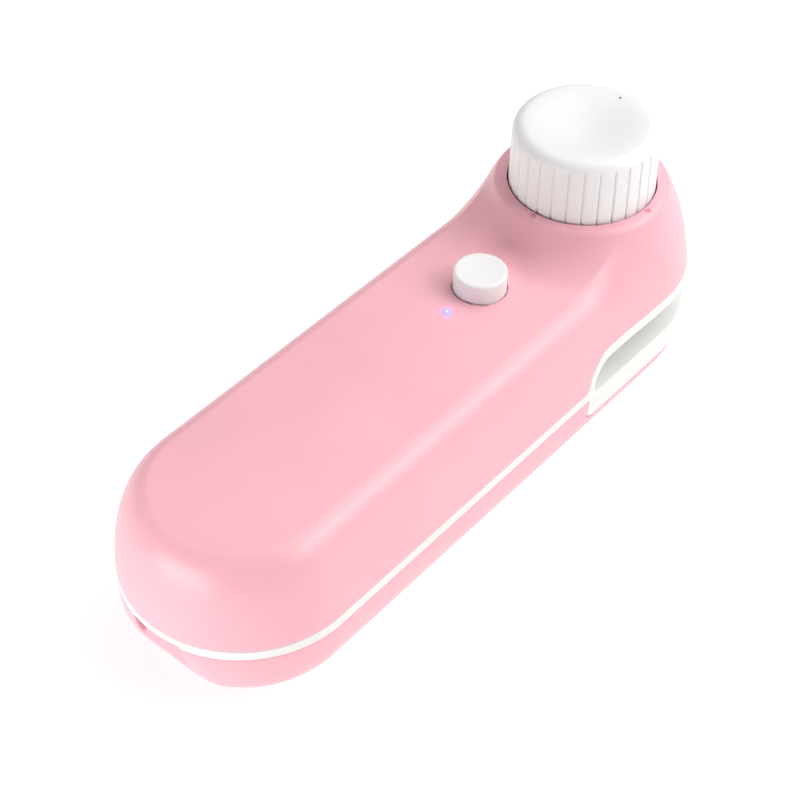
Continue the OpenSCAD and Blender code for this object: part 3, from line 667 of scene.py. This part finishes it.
def lamp_material():
    """Light pipe, lit blue-violet, with a small bright centre."""
    m = Mat("lit_light_pipe", (0.3, 0.3, 0.9, 1), 0.3)
    centre = m.node("ShaderNodeMapping")
    centre.inputs["Location"].default_value = (-LAMP_X * MM, 0, 0)
    centre.inputs["Scale"].default_value = (1, 1, 0)
    m.t.links.new(m.coords, centre.inputs["Vector"])
    length = m.node("ShaderNodeVectorMath", operation="LENGTH")
    m.t.links.new(centre.outputs[0], length.inputs[0])
    mix = m.node("ShaderNodeMix", data_type="RGBA")
    mix.inputs["A"].default_value = (0.85, 0.9, 1.0, 1)
    mix.inputs["B"].default_value = (0.3, 0.27, 0.8, 1)
    m.t.links.new(m.ramp(length.outputs["Value"], 0.05 * MM, 0.4 * MM, 0, 1), mix.inputs["Factor"])
    m.t.links.new(mix.outputs["Result"], m.s.inputs["Emission Color"])
    m.s.inputs["Emission Strength"].default_value = 0.8
    return m.m


silicone, foam, cloth = silicone_material(), foam_material(), cloth_material()
board, wrap, lamp = board_material(), wrap_material(), lamp_material()
red_wire = insulation("red_insulation", srgb(190, 30, 28))
black_wire = insulation("black_insulation", srgb(24, 24, 26))


def dress(obj, material, body=None):
    """Gives an object its material, and a new piece its body."""
    obj.data.materials.clear()
    obj.data.materials.append(material)
    if body:
        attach(obj, body)
    return obj


# ---------------------------------------------------------------- moulded housing

FRAME_TOP = box_mm("mid_frame")[1].z
# name, field, CAD node, material, slot, x and z spans, and the planes where the mesh is fine
shells = [
    ("shell_upper", top_shell, "top_shell", pink, "pink_plastic", (-HALF, HALF), (BAND_Z1, COLLAR_Z),
     ([TRIM_X], [], [BAND_Z1, LIP_Z1, COLLAR_Z])),
    ("shell_lower", bottom_shell, "bottom_shell", pink, "pink_plastic", (-HALF, HALF), (0, BAND_Z0),
     ([JAW_X], [-RECESS_Y, RECESS_Y], [0, JAW_LOW, BAND_Z0])),
    ("frame_trim", mid_frame, "mid_frame", white, "white_plastic", (-HALF, HALF), (BAND_Z0, FRAME_TOP),
     ([TRIM_X, MOUTH_X], [-RECESS_Y, RECESS_Y], [BAND_Z0, BAND_Z0 + PORT_STEP, BAND_Z1, LIP_Z0, LIP_Z1])),
    ("jaw_lower", lower_jaw, "lower_jaw", white, "white_plastic", (JAW_X, HALF), (JAW_LOW, JAW_Z),
     ([JAW_X, MOUTH_X], [], [JAW_LOW, JAW_Z])),
]
for name, field, node, material, slot, span_x, span_z, planes in shells:
    piece = moulded(name, field, (span_x[0], -R, span_z[0]), (span_x[1], R, span_z[1]), planes)
    dress(piece, material, "housing")
    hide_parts(node)

# ---------------------------------------------------------------- knob

GROOVES = 30
GROOVE_PITCH = 2 * math.pi / GROOVES
GROOVE_TURN = math.radians(5.4)
GROOVE_DEPTH, GROOVE_WIDTH = 0.38, 0.16
KNOB_Z0, KNOB_Z1 = KNOB[0].z, KNOB[1].z
RIM = 2.4  # rounding of the top edge
TAPER = 0.25  # how much narrower the knob is at its top
DISH_DEPTH, DISH_R = 1.2, KNOB_R - TAPER - RIM


def groove(angles, z, r):
    """Fine vertical grooves from the collar up to the rounded rim."""
    top = KNOB_Z1 - RIM * 0.6
    if r < KNOB_R - 0.8 or z > top:
        return 0 * angles
    fade = np.clip((top - z) / 0.7, 0, 1)
    away = (np.mod(angles - GROOVE_TURN, GROOVE_PITCH) - GROOVE_PITCH / 2) * r
    return -GROOVE_DEPTH * fade * np.exp(-((away / GROOVE_WIDTH) ** 2))


# mesh lines across one groove, in pitches from its middle: close together where it is steep
steps = np.array([0.035, 0.07, 0.11, 0.17, 0.26, 0.38])
offsets = np.concatenate([[-0.5], -steps[::-1], [0], steps])
knob_angles = np.concatenate([(i + 0.5 + offsets) * GROOVE_PITCH for i in range(GROOVES)]) + GROOVE_TURN
skirt = [(KNOB_R - TAPER * (z - KNOB_Z0) / (KNOB_Z1 - KNOB_Z0), z)
         for z in np.linspace(KNOB_Z0 + 0.3, KNOB_Z1 - RIM, 16)]
rim = arc(DISH_R, KNOB_Z1 - RIM, RIM, 0, 90, 18)[1:]
cup = box_mm("plunger")[1].z - 0.95 + 0.05  # underside of the knob's top
boss, boss_r = box_mm("knob_washer")[1].z + 0.02, 3.1
bore = KNOB_R - 2.0
inner = [(KNOB_R - 0.4, KNOB_Z0), (bore + 0.1, KNOB_Z0), (bore, KNOB_Z0 + 0.2), (bore, cup - 0.4),
         (bore - 0.4, cup), (boss_r + 0.4, cup), (boss_r, cup - 0.4), (boss_r, boss + 0.2),
         (boss_r - 0.2, boss), (0, boss)]


def top_at(r):
    """Height of the knob's dished top at radius r, out to the rim's rounding."""
    if r > DISH_R:
        return KNOB_Z1 - RIM + math.sqrt(RIM ** 2 - (r - DISH_R) ** 2)
    return KNOB_Z1 - DISH_DEPTH * (1 - (r / DISH_R) ** 2) ** 2


dish = [(DISH_R * k / 16, top_at(DISH_R * k / 16)) for k in range(15, -1, -1)]
profile = inner[::-1] + skirt + rim + dish
knob = lathe("knob_ribbed", profile, (X_END, 0), knob_angles, groove)
dress(knob, knob_white, "knob")
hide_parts("knob_cap")

# index dot near the rim, just proud of the dish
DOT_AT, DOT_TURN, DOT_R = 9.9, math.radians(-1), 0.27
dot_z = top_at(DOT_AT)
dot_profile = [(0, dot_z - 0.5), (DOT_R, dot_z - 0.5), (DOT_R, dot_z + 0.01), (0.7 * DOT_R, dot_z + 0.05),
               (0, dot_z + 0.06)]
dot = lathe("knob_index", dot_profile,
            (X_END + DOT_AT * math.cos(DOT_TURN), DOT_AT * math.sin(DOT_TURN)), 24)
dress(dot, grey_ink, "knob")

# raised marks on the collar where the knob is free and where it is locked, coloured a darker pink as painted
# shade for their small relief
MARK_R, MARK_LINE = 14.86, 0.13
ring = [(0.5 * math.cos(t), 0.42 * math.sin(t)) for t in np.linspace(0, 2 * math.pi, 17)]
triangle = [(-0.55, -0.38), (0.55, -0.38), (0, 0.42), (-0.55, -0.38)]
for name, outline, turn in (("collar_mark_free", ring, math.pi),
                            ("collar_mark_locked", triangle, 1.5 * math.pi)):
    polar = [(MARK_R + v, turn + u / MARK_R) for u, v in outline]
    points = [(X_END + r * math.cos(t), r * math.sin(t), COLLAR_Z + 0.03) for r, t in polar]
    dress(tube(name, points, MARK_LINE), pink_painted_shade_mark, "housing")

# ---------------------------------------------------------------- button and lamp

B0, B1 = BUTTON[0].z, BUTTON[1].z
FLANGE_Z, FLANGE_R, STEM_R = TOP_Z - WALL, 6.0, 1.6
BUTTON_EDGE = 0.55
button_profile = [(0, B0), (STEM_R, B0), (STEM_R, FLANGE_Z - 1.2), (FLANGE_R, FLANGE_Z - 1.2),
                  (FLANGE_R, FLANGE_Z - 0.2), (BUTTON_R, FLANGE_Z - 0.2)]
button_profile += [(BUTTON_R, z) for z in np.linspace(FLANGE_Z + 0.5, B1 - BUTTON_EDGE, 6)]
button_profile += arc(BUTTON_R - BUTTON_EDGE, B1 - BUTTON_EDGE, BUTTON_EDGE, 0, 90, 8)[1:]
button_profile += [(BUTTON_R - 1.0, B1 - 0.03), (BUTTON_R - 2.2, B1 - 0.12), (1.2, B1 - 0.16), (0, B1 - 0.16)]
button = lathe("button_cap", button_profile, (BUTTON_X, 0), 96)
dress(button, knob_white, "button")
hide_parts("power_button")

LENS_R, LENS_RISE, LENS_Z, PIPE_FOOT_R = 0.9, 0.22, TOP_Z - 0.05, 1.7
pipe_z = LAMP[0].z
pipe_profile = [(0, pipe_z), (PIPE_FOOT_R, pipe_z), (PIPE_FOOT_R, pipe_z + 1), (LENS_R, pipe_z + 1.2),
                (LENS_R, LENS_Z)]
pipe_profile += [(LENS_R * math.cos(t), LENS_Z + LENS_RISE * math.sin(t))
                 for t in np.linspace(0.2, math.pi / 2 - 0.1, 6)]
pipe = lathe("lamp_lens", pipe_profile + [(0, LENS_Z + LENS_RISE)], (LAMP_X, 0), 48)
dress(pipe, lamp, "housing")
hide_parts("light_pipe")
glow = bpy.data.lights.new("lamp_glow", "POINT")
glow.energy, glow.color, glow.shadow_soft_size = 0.00004, (0.35, 0.25, 1.0), 0.3 * MM
glow_at = bpy.data.objects.new("lamp_glow", glow)
glow_at.location = (LAMP_X * MM, 0, (TOP_Z + 1.2) * MM)
bpy.context.scene.collection.objects.link(glow_at)

# ---------------------------------------------------------------- spring and leads

spring_box = box_mm("return_spring")
wire_r, turns = 0.45, 5
coil_r = (spring_box[1].x - spring_box[0].x) / 2 - wire_r
z0, z1 = spring_box[0].z + wire_r, spring_box[1].z - wire_r
coil = [(X_END + coil_r * math.cos(a), coil_r * math.sin(a), z0 + (z1 - z0) * a / (2 * math.pi * turns))
        for a in np.linspace(0, 2 * math.pi * turns, turns * 48 + 1)]
spring = dress(tube("spring_coil", coil, wire_r), spring_steel, "housing")
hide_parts("return_spring")
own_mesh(spring)


def rounded_route(points, corner, n=6):
    """The route with its corners turned into arcs."""
    pts = [Vector(p) for p in points]
    out = [pts[0]]
    for a, b, c in zip(pts, pts[1:], pts[2:]):
        r = min(corner, (a - b).length / 2, (c - b).length / 2)
        p, q = b + (a - b).normalized() * r, b + (c - b).normalized() * r
        out += [(1 - t) ** 2 * p + 2 * t * (1 - t) * b + t ** 2 * q for t in np.linspace(0, 1, n)]
    return [tuple(p) for p in out + [pts[-1]]]


lead_box = box_mm("heater_leads")
lead_y = lead_box[1].y - 0.5  # outside the pressed knob's skirt
lead_parts = []
for s in (-1, 1):
    route = [(X_END, s * lead_y, z) for z in np.linspace(lead_box[0].z, lead_box[1].z - 0.15, 24)]
    lead_parts.append(tube(f"heater_lead_{'right' if s < 0 else 'left'}", route, 0.5))
for part in lead_parts:
    dress(part, red_wire)
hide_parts("heater_leads")
for part in lead_parts:
    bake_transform(part)

LEAD_R = 0.55
cell = box_mm("battery_cell")
cell_z = (cell[0].z + cell[1].z) / 2
leads = box_mm("battery_leads")
tab_z, top = cell_z + 4, leads[1].z
tail_x, front_x = leads[0].x + LEAD_R, leads[1].x - LEAD_R
over_z, side_y, board_x = 19.8, -7, -14  # the black lead's way over the cell, past its side, to the board
minus = rounded_route([(tail_x, 0, tab_z), (tail_x, 0, over_z), (tail_x, side_y, over_z),
                       (board_x, side_y, over_z), (board_x, side_y, top)], 1.6)
plus = [(front_x, 0, tab_z), (front_x, 0, top)]
minus_lead = dress(tube("battery_lead_black", minus, LEAD_R), black_wire, "housing")
dress(tube("battery_lead_red", plus, LEAD_R), red_wire, "housing")
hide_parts("battery_leads")
charge = box_mm("charge_leads")
for y, material, word in ((-2, black_wire, "black"), (2, red_wire, "red")):
    x0, x1, run_z = charge[0].x + LEAD_R, charge[1].x - LEAD_R, 21.5
    route = rounded_route([(x0, y, charge[0].z), (x0, y, run_z), (x1, y, run_z), (x1, y, charge[1].z)], 1.4)
    lead = dress(tube(f"charge_lead_{word}", route, LEAD_R), material, "housing")
    if word == "black":
        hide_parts("charge_leads")

# ---------------------------------------------------------------- release cloth and battery foam

cloth_box = box_mm("release_sheet")
CLOTH_T = 0.2
inset = CLOTH_T / 2
x0, x1, low_z = cloth_box[0].x + inset, cloth_box[1].x - inset, cloth_box[0].z + inset
fold = rounded_route([(x0, 0, cloth_box[1].z), (x0, 0, low_z), (x1, 0, low_z), (x1, 0, cloth_box[1].z)], 0.45)
path = np.array(fold)[:, [0, 2]]
along = np.gradient(path, axis=0)
along /= np.linalg.norm(along, axis=1, keepdims=True)
normal = np.stack([-along[:, 1], along[:, 0]], 1) * inset
loop = np.concatenate([path + normal, (path - normal)[::-1]])  # both faces of the cloth, end on
m = len(loop)
rows = np.linspace(cloth_box[0].y, cloth_box[1].y, 33)
cloth_points = [(x, y, z) for y in rows for x, z in loop]
cloth_faces = [(j * m + i, j * m + (i + 1) % m, (j + 1) * m + (i + 1) % m, (j + 1) * m + i)
               for j in range(len(rows) - 1) for i in range(m)]
half = m // 2
for start, turn in ((0, 1), ((len(rows) - 1) * m, -1)):
    cloth_faces += [tuple(start + k for k in (i, m - 1 - i, m - 2 - i, i + 1))[::turn]
                    for i in range(half - 1)]
release = mesh_object("release_cloth", cloth_points, cloth_faces)
dress(release, cloth, "carriage")
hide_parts("release_sheet")

FOAM = box_mm("battery_pad")


def battery_foam(x, y, z):
    """Foam between the cell and the board, hollowed to the cell, with sides that bulge a little."""
    mid, reach = (FOAM[0] + FOAM[1]) / 2, (FOAM[1] - FOAM[0]) / 2
    crown = 0.5 * ((z - mid.z) / reach.z) ** 2
    sides = rounded_max(np.abs(x - mid.x) - reach.x + crown, np.abs(y - mid.y) - reach.y + crown, 1.2)
    f = rounded_max(sides, np.abs(z - mid.z) - reach.z, 0.3)
    return rounded_max(f, cell_r + 0.03 - np.hypot(y, z - cell_z), 0.15)


cell_r = (cell[1].y - cell[0].y) / 2
foam_pad = moulded("battery_foam", battery_foam, FOAM[0], FOAM[1], ([], [], []), plain=None)
dress(foam_pad, foam, "housing")
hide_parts("battery_pad")

# ---------------------------------------------------------------- carried-over CAD pieces

carried_over = (
    (steel, ("knob_screw", "knob_washer", "carrier_screws", "board_screws", "housing_screws", "jaw_screws",
             "ceiling_screws")),
    (brass, ("guide_bush", "heater_terminals")),
    (nickel, ("tact_switch", "usb_c_socket", "battery_tabs")),
    (alloy, ("heating_strip",)),
    (grey_plastic, ("plunger", "lamp_chip")),
    (black_plastic, ("press_switch", "tact_plunger", "controller_chip")),
    (red_plastic, ("switch_button",)),
    (phenolic, ("heater_carrier",)),
    (silicone, ("silicone_pad",)),
    (board, ("control_board", "charge_board")),
    (wrap, ("battery_cell",)),
)
for material, names in carried_over:
    for node in names:
        dress(nodes[node], material)

# ---------------------------------------------------------------- floor, light and camera

FLOOR_HALF, FLOOR_GLOW = 3.0, 0.68  # metres; white enough for the shadow to be nearly lost


def floor():
    """Plain pale floor, lit a little from within."""
    mesh = bpy.data.meshes.new("floor")
    s = FLOOR_HALF
    mesh.from_pydata([(-s, -s, 0), (s, -s, 0), (s, s, 0), (-s, s, 0)], [], [(0, 1, 2, 3)])
    obj = bpy.data.objects.new("floor", mesh)
    bpy.context.scene.collection.objects.link(obj)
    m = Mat("lit_floor", (0.45, 0.45, 0.45, 1), 0.9)
    m.vary_rough(m.noise(40, 2), 0.03)
    m.s.inputs["Emission Color"].default_value = (1, 1, 1, 1)
    m.s.inputs["Emission Strength"].default_value = FLOOR_GLOW
    obj.data.materials.append(m.m)


def area_light(name, at, target, size, power):
    """White soft box, placed and sized in metres, of so many watts."""
    light = bpy.data.lights.new(name, "AREA")
    light.shape = "RECTANGLE"
    light.size, light.size_y = size
    light.energy = power
    obj = bpy.data.objects.new(name, light)
    obj.location = at
    obj.rotation_euler = (Vector(target) - Vector(at)).to_track_quat("-Z", "Y").to_euler()
    bpy.context.scene.collection.objects.link(obj)


floor()
world = bpy.data.worlds.new("studio")
world.use_nodes = True
world.node_tree.nodes["Background"].inputs["Color"].default_value = (1, 1, 1, 1)
world.node_tree.nodes["Background"].inputs["Strength"].default_value = 0.03
bpy.context.scene.world = world
area_light("overhead", (0.1, 0.1, 1.0), (0, 0, 0), (1.0, 1.0), 2.0)
area_light("top_right", (0.55, -0.25, 0.85), (0, 0, 0), (0.9, 0.9), 6.2)
area_light("top_back", (0.45, 0.5, 0.75), (0, 0, 0), (0.9, 0.9), 2.2)
area_light("right_high", (0.30, -0.60, 0.50), (0, 0, 0.02), (0.6, 0.4), 3.6)
area_light("tail_near", (-0.24, 0.02, 0.05), (-0.06, 0, 0.02), (0.16, 0.08), 0.27)
area_light("left_side", (-0.30, 0.70, 0.25), (0, 0, 0.02), (0.8, 0.4), 0.54)

# Camera: place, aim and lens, fitted to the outline of the object
AZIMUTH, ELEVATION, ROLL = -50.181, 44.684, 0.575
LENS = 85.92
TARGET = Vector((65.0 - HALF, 0, 20.0 - 1.34)) * MM
DISTANCE, SIDE, UP = 339.78 * MM, 2.376 * MM, 0.052 * MM
a, e, roll = (math.radians(v) for v in (AZIMUTH, ELEVATION, ROLL))
back = Vector((math.sin(a) * math.cos(e), -math.cos(a) * math.cos(e), math.sin(e)))
right = Vector((math.cos(a), math.sin(a), 0))
up = back.cross(right)
right, up = math.cos(roll) * right + math.sin(roll) * up, -math.sin(roll) * right + math.cos(roll) * up
camera = bpy.data.objects.new("camera", bpy.data.cameras.new("camera"))
camera.data.lens, camera.data.sensor_width = LENS, 36
camera.matrix_world = Matrix.Translation(TARGET + DISTANCE * back - SIDE * right - UP * up) @ Matrix(
    (right, up, back)).transposed().to_4x4()
bpy.context.scene.collection.objects.link(camera)
bpy.context.scene.camera = camera
bpy.context.scene.view_settings.view_transform = "Standard"
